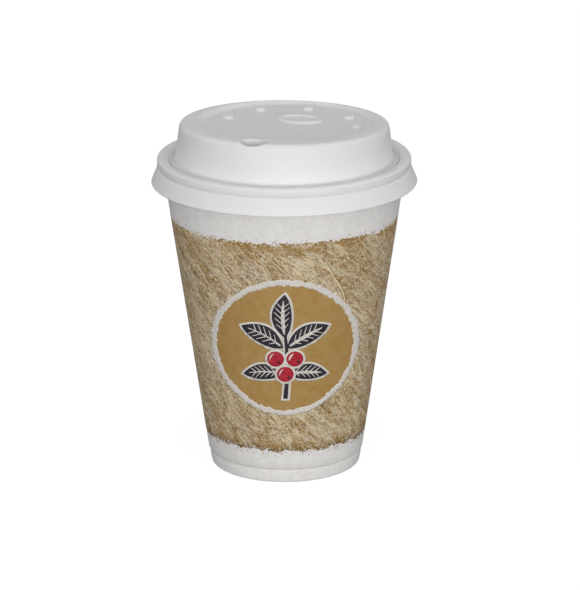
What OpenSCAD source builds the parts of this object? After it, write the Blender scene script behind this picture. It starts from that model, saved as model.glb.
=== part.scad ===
// Hot drink cup of moulded foam with a snap-on sip lid. The part stands on the
// table plane z = 0, its axis is Z, and the printed medallion faces -Y.

/* [Cup] */
// Height of the cup from the table to the top of its rim
cup_h = 114.9; // [95:0.1:135]
// Outside radius of the wall where its straight line meets the table
wall_base_r = 27.5; // [25:0.1:30]
// Lean of the wall from upright, in degrees
wall_lean = 8.3; // [6:0.1:10]
// Thickness of the foam wall
wall_t = 2.3; // [1.8:0.1:3]
// Thickness of the foam floor
floor_t = 3; // [2:0.1:5]
// Radius of the fillet between the wall and the floor inside
floor_fillet = 2.5; // [1:0.1:4]
// How far the rim stands out past the wall
rim_bulge = 0.5; // [0.2:0.1:1]
// Height of the rim's bulge
rim_h = 3.6; // [2.5:0.1:5]
// Radius on the rim's outer and inner top edges
rim_round = 1.3; // [0.8:0.1:1.4]

/* [Foot] */
// Height of the mould line above the table
foot_h = 6; // [4:0.1:10]
// How far the wall steps in below the mould line
foot_step = 0.2; // [0.1:0.05:0.5]
// Radius of the edge that the cup stands on
foot_round = 0.8; // [0.3:0.1:1.5]
// Width of the flat ring that the cup stands on
stand_w = 2.6; // [1.5:0.1:5]
// Depth of the hollow inside that ring
stand_hollow = 2; // [0.5:0.1:3]

/* [Lid rim] */
// Thickness of the lid's plastic sheet
sheet = 0.4; // [0.3:0.05:0.8]
// Gap between the top of the cup's rim and the lid
seat_gap = 0.3; // [0.1:0.05:0.6]
// Gap between the lid's inward bead and the cup's rim
snap_gap = 0.25; // [0.1:0.05:0.5]
// How far the outer channel stands out past the inward bead
bead_out = 0.35; // [0.1:0.05:1]
// Gap between the cup's rim and the inner wall of the lid's channel
mouth_gap = 0.4; // [0.2:0.05:1]
// Radius over the outer shoulder of the channel
bead_round = 1.6; // [1:0.1:2]
// Depth of the gutter between the channel and the dome
gutter_depth = 1.4; // [0.8:0.1:2]
// Height of the inward bead below the top of the channel
snap_drop = 3.4; // [3:0.1:5]
// Height of the skirt from the inward bead down to its lip
skirt_h = 5.8; // [3:0.1:8]
// Height of the ease between the inward bead and the faces above and below it
snap_ease = 0.6; // [0.3:0.1:1]
// How far the skirt's top stands out past the inward bead
skirt_step = 0.45; // [0.2:0.05:1]
// Flare of the skirt from upright, in degrees
skirt_flare = 22; // [10:1:35]

/* [Lid dome] */
// Outside radius of the dome's wall at the gutter
dome_r = 39.25; // [37:0.05:39.5]
// Draft of the dome's wall, in degrees
dome_draft = 6.6; // [3:0.1:10]
// Height of the dome's top above the gutter, on the axis
dome_h = 13.7; // [11:0.1:18]
// Radius over the dome's crest
crest_round = 1.6; // [1:0.1:2]
// Rise of the dome's top towards the mouthpiece, in degrees
top_rise = 2; // [0:0.1:3]
// Direction of the mouthpiece, in degrees from -Y towards -X
sip_turn = 16.5; // [-60:0.5:60]

/* [Lid deck] */
// Depth of the sunken deck below the dome's top, on the axis
deck_depth = 2.4; // [2:0.1:4]
// Radius of the deck's flat floor
deck_r = 29.75; // [26:0.05:30]
// How far the deck's centre lies back from the mouthpiece
deck_back = 2.8; // [0:0.1:3]
// Slope of the deck's side from flat, in degrees
deck_slope = 40; // [35:1:60]
// Distance from the axis to the straight edge of the deck behind the mouthpiece
ledge_r = 26.6; // [24:0.1:28]
// Slope of that straight edge from flat, in degrees
ledge_slope = 62; // [45:1:75]

/* [Lid details] */
// Length of the sip hole along the rim
sip_l = 12.5; // [8:0.1:16]
// Width of the sip hole
sip_w = 5.6; // [4.5:0.1:6]
// Distance from the axis to the middle of the sip hole
sip_r = 34.3; // [33.5:0.1:34.4]
// Number of raised dimples on the deck
dimples = 5; // [0:1:7]
// Width of a dimple
dimple_w = 4.2; // [3:0.1:6]
// Height of a dimple
dimple_h = 0.9; // [0.6:0.1:1.5]
// Distance from the deck's centre to a dimple
dimple_ring_r = 25; // [20:0.5:26]
// Angle between neighbouring dimples, in degrees
dimple_step = 42; // [30:1:45]
// Radius of the plain raised pad on the deck
pad_r = 8.2; // [4:0.1:9]
// Height of the pad above the deck
pad_h = 0.5; // [0.3:0.1:1]
// How far the pad's centre lies behind the deck's centre
pad_back = 8.6; // [5:0.1:10]
// How far the pad's centre lies to the right of the deck's centre
pad_side = 2.8; // [-5:0.1:5]
// Width of the vent hole
vent_w = 1; // [0.6:0.1:2]
// How far the vent hole lies in front of the deck's centre
vent_front = 14; // [8:0.5:20]

/* [Print] */
// Thickness of the printed colour
ink_t = 0.1; // [0.05:0.01:0.2]
// Hair of air between the foam and the printed colour
ink_gap = 0.02; // [0:0.01:0.05]
// Height of the band's lower edge above the table
band_low = 12.7; // [8:0.1:25]
// Height of the band from its lower to its upper edge
band_h = 81.5; // [60:0.1:85]
// Height of the medallion's centre above the table
medal_z = 54; // [45:0.5:60]
// Radius of the medallion, seen from the front
medal_r = 27; // [22:0.5:27]
// Width of the medallion's pale border
border_w = 2.8; // [1:0.1:5]
// Width of the pale outline round the motifs
outline_w = 0.8; // [0.4:0.1:1.5]
// Length of the topmost leaf as a share of the panel's radius
leaf_share = 0.7; // [0.5:0.01:0.72]
// Width of a leaf as a share of its length
leaf_slim = 0.42; // [0.3:0.01:0.5]
// Radius of a coffee cherry as a share of the panel's radius
cherry_share = 0.124; // [0.08:0.002:0.14]
// Width of the stem
stem_w = 1.3; // [0.8:0.1:2]

/* [Hidden] */

// Smoothness of the turned shapes and of the small arcs in a section
turn_fn = 180;
arc_steps = 6;
// Slack that carries a cutting shape past the surface that it cuts
past = 1;
// A length that reaches past the whole part
far = 120;

// Radius of the wall's outer face at a height, and the wall's level thickness
function wall_r(z) = wall_base_r + z * tan(wall_lean);
wall_level = wall_t / cos(wall_lean);

foot_r = wall_r(0) - foot_step;
floor_z = stand_hollow + floor_t;
rim_r = wall_r(cup_h) + rim_bulge;
mouth_r = wall_r(cup_h) - wall_level;
ink_in = ink_gap / cos(wall_lean);
ink_out = ink_in + ink_t / cos(wall_lean);

// Heights and radii of the lid's outer face, taken from the cup's rim
bead_top = cup_h + seat_gap + sheet;
snap_z = bead_top - snap_drop;
snap_r = rim_r + snap_gap + sheet;
bead_r = snap_r + bead_out;
lip_z = snap_z - skirt_h;
skirt_top_r = snap_r + skirt_step;
lip_r = skirt_top_r + (skirt_h - snap_ease) * tan(skirt_flare);
gutter_r = mouth_r - mouth_gap - sheet;
gutter_z = bead_top - gutter_depth;
deck_z = gutter_z + dome_h - deck_depth;

// The crest's arc touches the dome's wall
crest_z = dome_h - crest_round;
crest_r = dome_r - crest_z * tan(dome_draft) - crest_round / cos(dome_draft);

// Points along an arc, from one angle to another
function arc(centre, r, from, to) =
    [for (i = [0 : arc_steps])
        let (a = from + (to - from) * i / arc_steps)
        centre + r * [cos(a), sin(a)]];

// The cup's section: the standing ring, the outer wall, the rim, then down the inside
module cup() {
    inner_foot_r = wall_r(floor_z) - wall_level;
    color("#f3f1ef")
        rotate_extrude($fn = turn_fn)
            polygon(concat(
                [[0, stand_hollow],
                 [foot_r - foot_round - stand_w - stand_hollow, stand_hollow],
                 [foot_r - foot_round - stand_w, 0]],
                arc([foot_r - foot_round, foot_round], foot_round, -90, 0),
                [[wall_r(foot_h) - foot_step, foot_h],
                 [wall_r(foot_h + foot_step), foot_h + foot_step],
                 [wall_r(cup_h - rim_h), cup_h - rim_h]],
                [[rim_r, cup_h - rim_h + rim_bulge]],
                arc([rim_r - rim_round, cup_h - rim_round], rim_round, 0, 90),
                arc([mouth_r + rim_round, cup_h - rim_round], rim_round, 90, 180),
                arc([inner_foot_r - floor_fillet * tan(45 - wall_lean / 2), floor_z + floor_fillet],
                    floor_fillet, -wall_lean, -90),
                [[0, floor_z]]));
}

// Turns a shape so that its -Y side faces the mouthpiece
module at_sip() {
    rotate([0, 0, -sip_turn])
        children();
}

// Filled form of the lid's rim, drawn in by t on every face
module rim_form(t) {
    drop = t > 0 ? past : 0;
    level = t / cos(skirt_flare);
    rotate_extrude($fn = turn_fn)
        polygon(concat(
            [[0, lip_z - drop],
             [lip_r - level + drop * tan(skirt_flare), lip_z - drop],
             [skirt_top_r - level, snap_z - snap_ease],
             [snap_r - t, snap_z],
             [bead_r - t, snap_z + snap_ease]],
            arc([bead_r - bead_round, bead_top - bead_round], bead_round - t, 0, 90),
            arc([gutter_r + gutter_depth, gutter_z], gutter_depth - t, 90, 180),
            [[gutter_r + t, gutter_z - t],
             [0, gutter_z - t]]));
}

// Filled form of the dome, drawn in by t, risen towards the mouthpiece
module dome_form(t) {
    root = 3;
    level = t / cos(dome_draft);
    translate([0, 0, gutter_z])
        at_sip()
            rotate([-top_rise, 0, 0])
                rotate_extrude($fn = turn_fn)
                    polygon(concat(
                        [[0, -root],
                         [dome_r + root * tan(dome_draft) - level, -root]],
                        arc([crest_r, crest_z], crest_round - t, dome_draft, 90),
                        [[0, dome_h - t]]));
}

// Space above the sunken deck, grown by t on every face
module deck_space(t) {
    side_grow = t / sin(deck_slope) - t / tan(deck_slope);
    ledge_grow = t / sin(ledge_slope);
    intersection() {
        translate([0, deck_back, deck_z - t])
            cylinder(h = far, r1 = deck_r + side_grow, r2 = deck_r + side_grow + far / tan(deck_slope),
                     $fn = turn_fn);
        translate([0, -ledge_r - ledge_grow, deck_z])
            rotate([90 - ledge_slope, 0, 0])
                translate([-far / 2, 0, -far / 2])
                    cube(far);
    }
}

// What stands up from the deck, drawn in by t: the dimples and the plain pad
module deck_rises(t) {
    ball_r = (dimple_w * dimple_w / 4 + dimple_h * dimple_h) / (2 * dimple_h);
    translate([0, deck_back, deck_z - t]) {
        for (i = [0 : 1 : dimples - 1])
            rotate([0, 0, dimple_step * (i - (dimples - 1) / 2)])
                translate([0, dimple_ring_r, 0])
                    intersection() {
                        translate([0, 0, dimple_h - ball_r + t])
                            sphere(r = ball_r - t, $fn = 48);
                        translate([0, 0, dimple_h / 2 - past / 2])
                            cube([dimple_w, dimple_w, dimple_h + past], center = true);
                    }
        translate([pad_side, pad_back, -past])
            cylinder(h = pad_h + past, r = pad_r - t, $fn = 96);
    }
}

// Outside of the whole lid as one filled form, drawn in by t
module lid_form(t) {
    rim_form(t);
    at_sip() {
        difference() {
            rotate([0, 0, sip_turn])
                dome_form(t);
            deck_space(t);
        }
        deck_rises(t);
    }
}

// Slot with round ends that the drink comes through
module sip_hole() {
    translate([0, -sip_r, deck_z - past]) {
        for (side = [-1, 1])
            translate([side * (sip_l - sip_w) / 2, 0, 0])
                cylinder(h = far, d = sip_w, $fn = 64);
        translate([-(sip_l - sip_w) / 2, -sip_w / 2, 0])
            cube([sip_l - sip_w, sip_w, far]);
    }
}

module lid() {
    color("#ecebea")
        difference() {
            lid_form(0);
            lid_form(sheet);
            at_sip() {
                sip_hole();
                translate([0, deck_back - vent_front, deck_z - 2 * past])
                    cylinder(h = far, d = vent_w, $fn = 32);
            }
        }
}

// Thin coat on the wall between two heights
module coat(low, high) {
    difference() {
        translate([0, 0, low])
            cylinder(h = high - low, r1 = wall_r(low) + ink_out, r2 = wall_r(high) + ink_out,
                     $fn = turn_fn);
        translate([0, 0, low - past])
            cylinder(h = high - low + 2 * past, r1 = wall_r(low - past) + ink_in,
                     r2 = wall_r(high + past) + ink_in, $fn = turn_fn);
    }
}

// Carries a flat drawing from the front view through the wall
module from_front() {
    translate([0, 0, medal_z])
        rotate([90, 0, 0])
            linear_extrude(height = far)
                children();
}

// Ink that covers a flat drawing, which is given as seen from the front
module print_on_wall() {
    intersection() {
        coat(medal_z - medal_r - past, medal_z + medal_r + past);
        from_front()
            children();
    }
}

// Leaf from its foot at the origin along +X, grown by g all round: two arcs that meet
module leaf(length, g) {
    half = length / 2;
    bow = length * leaf_slim / 2;
    r = (half * half + bow * bow) / (2 * bow);
    translate([half, 0])
        intersection() {
            translate([0, r - bow])
                circle(r = r + g, $fn = 96);
            translate([0, bow - r])
                circle(r = r + g, $fn = 96);
        }
}

// The sprig is laid out in shares of the panel's radius, so it fits any medallion.
// Each leaf's foot, its direction in degrees and its length as a share of the top leaf's
leaf_places = [[[0, 0.165], 90, 1], [[0.025, 0], 28, 1], [[-0.025, 0], 152, 1],
               [[0.025, -0.413], -4, 0.85], [[-0.025, -0.413], 184, 0.85]];
// Centres of the cherries in cherry radii from the middle of their bunch
cherry_places = [[-1.15, 0.75], [1.15, 0.75], [0, -1.25]];
bunch_centre = [0, -0.27];
stem_low = -0.826;
stem_high = 0.25;

panel_r = medal_r - border_w;
leaf_l = leaf_share * panel_r;
cherry_r = cherry_share * panel_r;

module leaves_shape(g) {
    for (p = leaf_places)
        translate(p[0] * panel_r)
            rotate(p[1])
                leaf(leaf_l * p[2], g);
}

module cherries_shape(g) {
    for (c = cherry_places)
        translate(bunch_centre * panel_r + c * cherry_r)
            circle(r = cherry_r + g, $fn = 48);
}

module stem_shape(g) {
    stem_l = (stem_high - stem_low) * panel_r;
    translate([-stem_w / 2 - g, stem_low * panel_r - g])
        square([stem_w + 2 * g, stem_l + 2 * g]);
}

// Pale midrib of each leaf, which starts and ends inside it
module ribs_shape() {
    rib_w = 0.7;
    start_share = 0.12;
    length_share = 0.6;
    for (p = leaf_places)
        translate(p[0] * panel_r)
            rotate(p[1])
                translate([leaf_l * p[2] * start_share, -rib_w / 2])
                    square([leaf_l * p[2] * length_share, rib_w]);
}

module sprig_shape(g) {
    leaves_shape(g);
    cherries_shape(g);
    stem_shape(g);
}

module dark_shape() {
    difference() {
        union() {
            leaves_shape(0);
            stem_shape(0);
        }
        ribs_shape();
        cherries_shape(outline_w);
    }
}

module printed_band() {
    color("#c2aa82")
        difference() {
            coat(band_low, band_low + band_h);
            from_front()
                circle(r = medal_r, $fn = 128);
        }
}

module printed_panel() {
    color("#a8874e")
        print_on_wall()
            difference() {
                circle(r = panel_r, $fn = 128);
                sprig_shape(outline_w);
            }
}

module printed_border() {
    color("#f4f1ea")
        print_on_wall() {
            difference() {
                circle(r = medal_r, $fn = 128);
                circle(r = panel_r, $fn = 128);
            }
            difference() {
                sprig_shape(outline_w);
                dark_shape();
                cherries_shape(0);
            }
        }
}

module printed_leaves() {
    color("#2f2b35")
        print_on_wall()
            dark_shape();
}

module printed_cherries() {
    color("#b32436")
        print_on_wall()
            cherries_shape(0);
}

cup();
printed_band();
printed_panel();
printed_border();
printed_leaves();
printed_cherries();
lid();
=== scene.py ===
"""A hot drink cup of moulded foam with a thermoformed sip lid, dressed for the render.

Sizes are in millimetres, as on the maker's drawing, and turned to metres where a mesh is made.
The cup stands on z = 0, its axis is Z, and the printed medallion faces -Y.
"""
import math

import bmesh
import bpy
import numpy as np
from mathutils import Matrix, Vector


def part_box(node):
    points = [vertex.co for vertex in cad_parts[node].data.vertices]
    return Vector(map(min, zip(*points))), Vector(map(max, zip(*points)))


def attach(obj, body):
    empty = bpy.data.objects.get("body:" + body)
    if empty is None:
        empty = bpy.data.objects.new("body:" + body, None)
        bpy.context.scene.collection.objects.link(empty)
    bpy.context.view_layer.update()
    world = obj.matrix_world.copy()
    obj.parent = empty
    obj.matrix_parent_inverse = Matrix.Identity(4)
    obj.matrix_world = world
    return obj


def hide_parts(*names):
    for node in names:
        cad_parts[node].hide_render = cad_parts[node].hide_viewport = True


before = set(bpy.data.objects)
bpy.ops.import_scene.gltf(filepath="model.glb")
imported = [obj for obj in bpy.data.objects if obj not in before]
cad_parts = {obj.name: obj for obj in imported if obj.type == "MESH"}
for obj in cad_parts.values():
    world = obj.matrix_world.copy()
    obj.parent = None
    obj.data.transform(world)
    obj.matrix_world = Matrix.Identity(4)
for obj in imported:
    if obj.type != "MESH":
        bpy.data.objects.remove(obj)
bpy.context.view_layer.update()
MM = 0.001

# Camera, fitted to the ellipses of the lid and the foot in the photograph
CAMERA_DISTANCE = 1255.5
CAMERA_RISE = math.radians(17.63)
CAMERA_PIVOT_Z = 59.4
CAMERA_AIM = (1.86, 0.0, 62.71)
CAMERA_ROLL = math.radians(-0.27)
FOCAL_PIXELS = 3440.0
PHOTO_HEIGHT = 590
SENSOR = 36.0

# Cup, as in the part's source
CUP_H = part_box("cup")[1][2] / MM
WALL_BASE_R = 27.5
WALL_LEAN = math.radians(8.3)
WALL_T = 2.3
WALL_LEVEL = WALL_T / math.cos(WALL_LEAN)
FLOOR_T = 3.0
FLOOR_FILLET = 2.5
RIM_BULGE = 0.5
RIM_H = 3.6
RIM_ROUND = 1.3
FOOT_STEP = 0.2
FOOT_ROUND = 0.8
# The ring that the cup stands on, the hollow inside it and its softened edges
STAND_W = 2.6
STAND_HOLLOW = 2.0
STAND_SOFT = 0.3
# The mould line: how deep it cuts in, its upper edge, its height and where the foot runs out below it
MOULD_LINE_DEPTH = 0.5
MOULD_LINE_Z = 5.65
MOULD_LINE_H = 0.7
MOULD_LINE_RUN = 2.2
# Width of the foam's pressed beads
BEAD_W = 1.4

# Lid: its fits and main sizes as in the part's source, its roundings and marks as the photograph shows
SHEET = 0.4
SEAT_GAP = 0.3
SNAP_GAP = 0.25
SNAP_DROP = 3.4
SNAP_EASE = 0.6
SKIRT_H = 5.8
SKIRT_STEP = 0.45
SKIRT_FLARE = math.radians(22)
# The bead over the rim and the gutter inside it
BEAD_OUT = 0.35
BEAD_ROUND = 1.1
BEAD_INNER = 2.4
MOUTH_GAP = 0.4
GUTTER_DEPTH = 1.4
GUTTER_FILLET = 0.9
GUTTER_DROP = 0.1
# The dome; its top rises to the mouthpiece, and the rise settles in over its lowest part
DOME_R = 39.25
DOME_DRAFT = math.radians(6.6)
DOME_H = 13.7
CREST_ROUND = 2.1
TOP_RISE = math.radians(2)
RISE_RUN = 4.0
SIP_TURN = math.radians(16.5)
# The sunken deck, moved back from the mouthpiece, and the ledge that closes it there
DECK_DEPTH = 2.4
DECK_R = 30.8
DECK_BACK = 2.8
DECK_SHIFT = 4.2
DECK_SLOPE = math.radians(60)
LEDGE_R = 26.6
LEDGE_SLOPE = math.radians(62)
LEDGE_BLEND, DECK_BLEND, CREST_BLEND = 0.9, 0.3, 0.25
# The hole that is drunk from, and the collar turned down round it; the collar stays inside the dome
SIP_L = 9.8
SIP_W = 7.2
SIP_FULLNESS = 0.8
SIP_R = 33.45
SIP_SIDE = -1.0
COLLAR_T = 0.4
COLLAR_H = 2.4
COLLAR_TOP = 0.2
COLLAR_LEAN = 0.5
COLLAR_REACH = 36.4
# Five round bumps, as distances to the mouthpiece and to its right, and the insets and shares of
# height that round their edge
BUMP_W = 4.0
BUMP_H = 1.2
BUMPS = [(-8.4, -23.6), (-22.5, -15.8), (-28.0, 1.0), (-19.4, 18.8), (-7.4, 24.9)]
BUMP_ROOT = -0.2
BUMP_EDGE = [(0.06, 0.6), (0.16, 0.8), (0.36, 0.94)]
BUMP_TOP = 0.7
# The raised oval pad with its sunken middle
PAD_L = 17.0
PAD_W = 11.2
PAD_H = 1.0
PAD_RIM = 1.5
PAD_BACK = 12.4
PAD_SIDE = 2.5
PAD_EDGE = [(PAD_RIM - 0.3, 0.94), (PAD_RIM - 0.1, 0.8), (PAD_RIM, 0.4)]
VENT_W = 1.0
VENT_FRONT = 14.0
# How far the holes are cut past the deck, down and up
CUT_LOW, CUT_HIGH = 1.5, 8.0

# Print, as in the part's source
BAND_LOW = 12.7
BAND_H = 81.5
BAND_EDGES = (BAND_LOW, BAND_LOW + BAND_H)
MEDAL_Z = 54.0
MEDAL_R = 27.0
BORDER_W = 2.8
OUTLINE_W = 0.8
LEAF_SLIM = 0.42
LEAF_BEND = 0.07
STEM_W = 1.3
RIB_W = 0.7
PANEL_R = MEDAL_R - BORDER_W
LEAF_L = 0.7 * PANEL_R
CHERRY_R = 0.124 * PANEL_R
# Each leaf's foot, direction in degrees and share of the top leaf's length, in shares of the panel
LEAF_PLACES = [((0, 0.165), 90, 1), ((0.025, 0), 28, 1), ((-0.025, 0), 152, 1),
               ((0.025, -0.413), -4, 0.85), ((-0.025, -0.413), 184, 0.85)]
CHERRY_PLACES = [(-1.15, 0.75), (1.15, 0.75), (0, -1.25)]
BUNCH_CENTRE = (0, -0.27)
STEM_LOW, STEM_HIGH = -0.826, 0.25
# Spacing and height of the teeth of the band's torn edge and of the chalky border
TORN = [(7.0, 0.35), (2.2, 0.4), (1.0, 0.35), (0.4, 0.18)]
CHALKY = [(5.0, 0.12), (1.6, 0.22), (0.8, 0.28), (0.35, 0.15)]
# The flecks along the torn edges: how many, how far they stray and how big they are
FLECK_COUNT = 900
FLECK_SPREAD = 1.8
FLECK_SIZE = 0.3
# How far each layer of ink stands off the foam
LIFT_BAND, LIFT_BARE, LIFT_PANEL, LIFT_PALE, LIFT_DARK = 0.05, 0.065, 0.07, 0.086, 0.1
LIFT_OUTLINE, LIFT_RED, LIFT_TOP = 0.114, 0.128, 0.14
INK_T = 0.012

# The floor's reach from the axis
FLOOR_REACH = 3000

# How fine the meshes are: points round the axis, and spacing along a section and across the print
CUP_COLUMNS, LID_COLUMNS, BAND_COLUMNS, BORDER_COLUMNS = 256, 320, 1440, 1200
CUP_PITCH, RIM_PITCH, DOME_PITCH, TOP_PITCH, PRINT_PITCH = 2.5, 1.0, 1.2, 0.48, 1.6
SHARP_EDGE = math.radians(38)


def wall_r(z):
    return WALL_BASE_R + z * math.tan(WALL_LEAN)


RIM_R = wall_r(CUP_H) + RIM_BULGE
MOUTH_R = wall_r(CUP_H) - WALL_LEVEL
BEAD_TOP = CUP_H + SEAT_GAP + SHEET
SNAP_Z = BEAD_TOP - SNAP_DROP
SNAP_R = RIM_R + SNAP_GAP + SHEET
BEAD_R = SNAP_R + BEAD_OUT
LIP_Z = SNAP_Z - SKIRT_H
SKIRT_TOP_R = SNAP_R + SKIRT_STEP
LIP_R = SKIRT_TOP_R + (SKIRT_H - SNAP_EASE) * math.tan(SKIRT_FLARE)
GUTTER_R = MOUTH_R - MOUTH_GAP - SHEET
GUTTER_Z = BEAD_TOP - GUTTER_DEPTH
DECK_Z = GUTTER_Z + DOME_H - DECK_DEPTH
CREST_Z = DOME_H - CREST_ROUND
CREST_R = DOME_R - CREST_Z * math.tan(DOME_DRAFT) - CREST_ROUND / math.cos(DOME_DRAFT)
# Plan direction from the axis to the mouthpiece, and the one to its right
SIP = np.array([-math.sin(SIP_TURN), -math.cos(SIP_TURN)])
SIDE = np.array([math.cos(SIP_TURN), -math.sin(SIP_TURN)])


# Points, sections and meshes


def arc(centre_r, centre_z, radius, start, end, steps=8):
    """Points of a section along an arc, angles in degrees."""
    turn = np.radians(np.linspace(start, end, steps + 1))
    return [(centre_r + radius * math.cos(a), centre_z + radius * math.sin(a)) for a in turn]


def ramp(start, end, pitch):
    """Points of a section along a straight line, about pitch apart, without its ends."""
    start, end = np.array(start), np.array(end)
    count = max(1, round(float(np.linalg.norm(end - start)) / pitch))
    return [tuple(start + (end - start) * i / count) for i in range(1, count)]


def line_up(section, pitch):
    """A section with its long straight lines divided into steps of about pitch."""
    out = [section[0]]
    for here, there in zip(section, section[1:]):
        out += ramp(here, there, pitch) + [there]
    return out


def smooth(value):
    value = np.clip(value, 0, 1)
    return value * value * (3 - 2 * value)


def soft_min(a, b, width):
    """The smaller of two heights, rounded over where they cross."""
    share = np.clip(0.5 + 0.5 * (b - a) / width, 0, 1)
    return b + (a - b) * share - width * share * (1 - share)


def soft_max(a, b, width):
    return -soft_min(-a, -b, width)


def turned(section, columns):
    """Points of a section turned round Z: rows by columns by xyz."""
    section = np.array(section)
    turn = np.linspace(0, 2 * math.pi, columns, endpoint=False)
    r, z = section[:, :1], section[:, 1:]
    return np.stack([r * np.cos(turn), r * np.sin(turn), z + 0 * turn], axis=-1)


def make_object(name, verts, faces, material, shade_smooth=True):
    mesh = bpy.data.meshes.new(name)
    mesh.from_pydata((np.asarray(verts) * MM).tolist(), [], faces)
    mesh.update()
    mesh.polygons.foreach_set("use_smooth", [shade_smooth] * len(mesh.polygons))
    obj = bpy.data.objects.new(name, mesh)
    bpy.context.scene.collection.objects.link(obj)
    if material:
        mesh.materials.append(material)
    return obj


def grid_faces(rows, columns, start=0, closed=True, flip=False):
    """Quads between rows of points; closed joins the last column to the first."""
    faces = []
    for row in range(rows - 1):
        for col in range(columns if closed else columns - 1):
            a = start + row * columns + col
            b = start + row * columns + (col + 1) % columns
            quad = (a, b, b + columns, a + columns)
            faces.append(quad[::-1] if flip else quad)
    return faces


def fan(ring, tip, columns, flip=False):
    """Triangles from a closed ring of points to one tip."""
    faces = [(ring + col, ring + (col + 1) % columns, tip) for col in range(columns)]
    return [face[::-1] for face in faces] if flip else faces


def shared_normals(points):
    """Outward normals of a closed grid of points."""
    across = np.roll(points, -1, axis=1) - np.roll(points, 1, axis=1)
    along = np.gradient(points, axis=0)
    normal = np.cross(across, along)
    length = np.linalg.norm(normal, axis=-1, keepdims=True)
    return normal / np.maximum(length, 1e-9)


# The foam cup


def cup_section():
    """Outline of the cup from the middle of its underside, up the wall, over the rim and down inside."""
    foot_r = wall_r(0) - FOOT_STEP
    floor_z = STAND_HOLLOW + FLOOR_T
    stand_out = foot_r - FOOT_ROUND
    stand_in = stand_out - STAND_W
    inner_r = wall_r(floor_z) - WALL_LEVEL
    lean = math.degrees(WALL_LEAN)
    fillet_r = inner_r - FLOOR_FILLET * math.tan(math.radians(45 - lean / 2))
    section = [(0, STAND_HOLLOW), (stand_in - STAND_HOLLOW, STAND_HOLLOW)]
    section += [(stand_in - STAND_SOFT, STAND_SOFT), (stand_in, 0)]
    section += [(stand_in + STAND_SOFT, 0), (stand_out - STAND_SOFT, 0)]
    section += arc(stand_out, FOOT_ROUND, FOOT_ROUND, -90, 0)
    # The mould line: the wall's lower edge stands over the foot, which comes back out below it
    line_low = MOULD_LINE_Z - MOULD_LINE_H
    line_r = wall_r(line_low) - FOOT_STEP - MOULD_LINE_DEPTH
    foot_run = line_low - MOULD_LINE_RUN
    section += [(wall_r(foot_run) - FOOT_STEP, foot_run), (line_r + 0.04, line_low - 0.2), (line_r, line_low)]
    section += [(wall_r(MOULD_LINE_Z) - 0.1, MOULD_LINE_Z - 0.05)]
    section += [(wall_r(MOULD_LINE_Z + 0.2), MOULD_LINE_Z + 0.2)]
    bulge_low = CUP_H - RIM_H
    bulge_top = bulge_low + RIM_BULGE
    section += [(wall_r(bulge_low), bulge_low), (RIM_R - 0.12, bulge_top - 0.1), (RIM_R, bulge_top + 0.3)]
    section += arc(RIM_R - RIM_ROUND, CUP_H - RIM_ROUND, RIM_ROUND, 0, 90)
    section += arc(MOUTH_R + RIM_ROUND, CUP_H - RIM_ROUND, RIM_ROUND, 90, 180)
    section += arc(fillet_r, floor_z + FLOOR_FILLET, FLOOR_FILLET, -lean, -90)
    section += [(0, floor_z)]
    return section


def make_cup(material):
    columns = CUP_COLUMNS
    section = line_up(cup_section(), CUP_PITCH)
    points = turned(section[1:-1], columns)
    rows = len(points)
    verts = points.reshape(-1, 3).tolist()
    under, floor = len(verts), len(verts) + 1
    verts += [(0, 0, section[0][1]), (0, 0, section[-1][1])]
    faces = grid_faces(rows, columns)
    faces += fan(0, under, columns, flip=True)
    faces += fan((rows - 1) * columns, floor, columns)
    return make_object("foam_cup", verts, faces, material)


# The sip lid


def rim_section():
    """Outside of the lid from the skirt's lip to the foot of the dome."""
    section = [(LIP_R, LIP_Z), (SKIRT_TOP_R + 0.1, SNAP_Z - SNAP_EASE - 0.25)]
    section += [(SKIRT_TOP_R - 0.08, SNAP_Z - SNAP_EASE + 0.1), (SNAP_R + 0.02, SNAP_Z - 0.12)]
    section += [(SNAP_R + 0.02, SNAP_Z + 0.12), (BEAD_R - 0.1, SNAP_Z + SNAP_EASE - 0.1)]
    section += [(BEAD_R, SNAP_Z + SNAP_EASE + 0.15)]
    section += arc(BEAD_R - BEAD_ROUND, BEAD_TOP - BEAD_ROUND, BEAD_ROUND, 0, 90, 10)
    section += arc(GUTTER_R + BEAD_INNER, BEAD_TOP - BEAD_INNER, BEAD_INNER, 90, 180, 14)
    section += arc(GUTTER_R - GUTTER_FILLET, GUTTER_Z - GUTTER_DROP + GUTTER_FILLET, GUTTER_FILLET, 0, -90, 5)
    return section


def dome_section():
    """Outside of the dome from its foot to the end of the crest's arc, as radius and height."""
    draft = math.degrees(DOME_DRAFT)
    foot_r = DOME_R + GUTTER_DROP * math.tan(DOME_DRAFT) + GUTTER_FILLET
    section = arc(foot_r, GUTTER_FILLET - GUTTER_DROP, GUTTER_FILLET, 270, 180 + draft, 5)
    section += arc(CREST_R, CREST_Z, CREST_ROUND, draft, 90, 10)
    return section


def risen(r, h, turn):
    """World points of the dome's own ones: its axis leans so that its top rises to the mouthpiece."""
    flat = np.stack([r * np.cos(turn), r * np.sin(turn)], axis=-1)
    along = flat @ SIP
    across = flat @ SIDE
    settle = smooth((h + 0 * along) / RISE_RUN) * TOP_RISE
    new_along = along * np.cos(settle) - h * np.sin(settle)
    new_h = h * np.cos(settle) + along * np.sin(settle)
    plan = new_along[..., None] * SIP + across[..., None] * SIDE
    return np.concatenate([plan, (GUTTER_Z + new_h)[..., None]], axis=-1)


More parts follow.
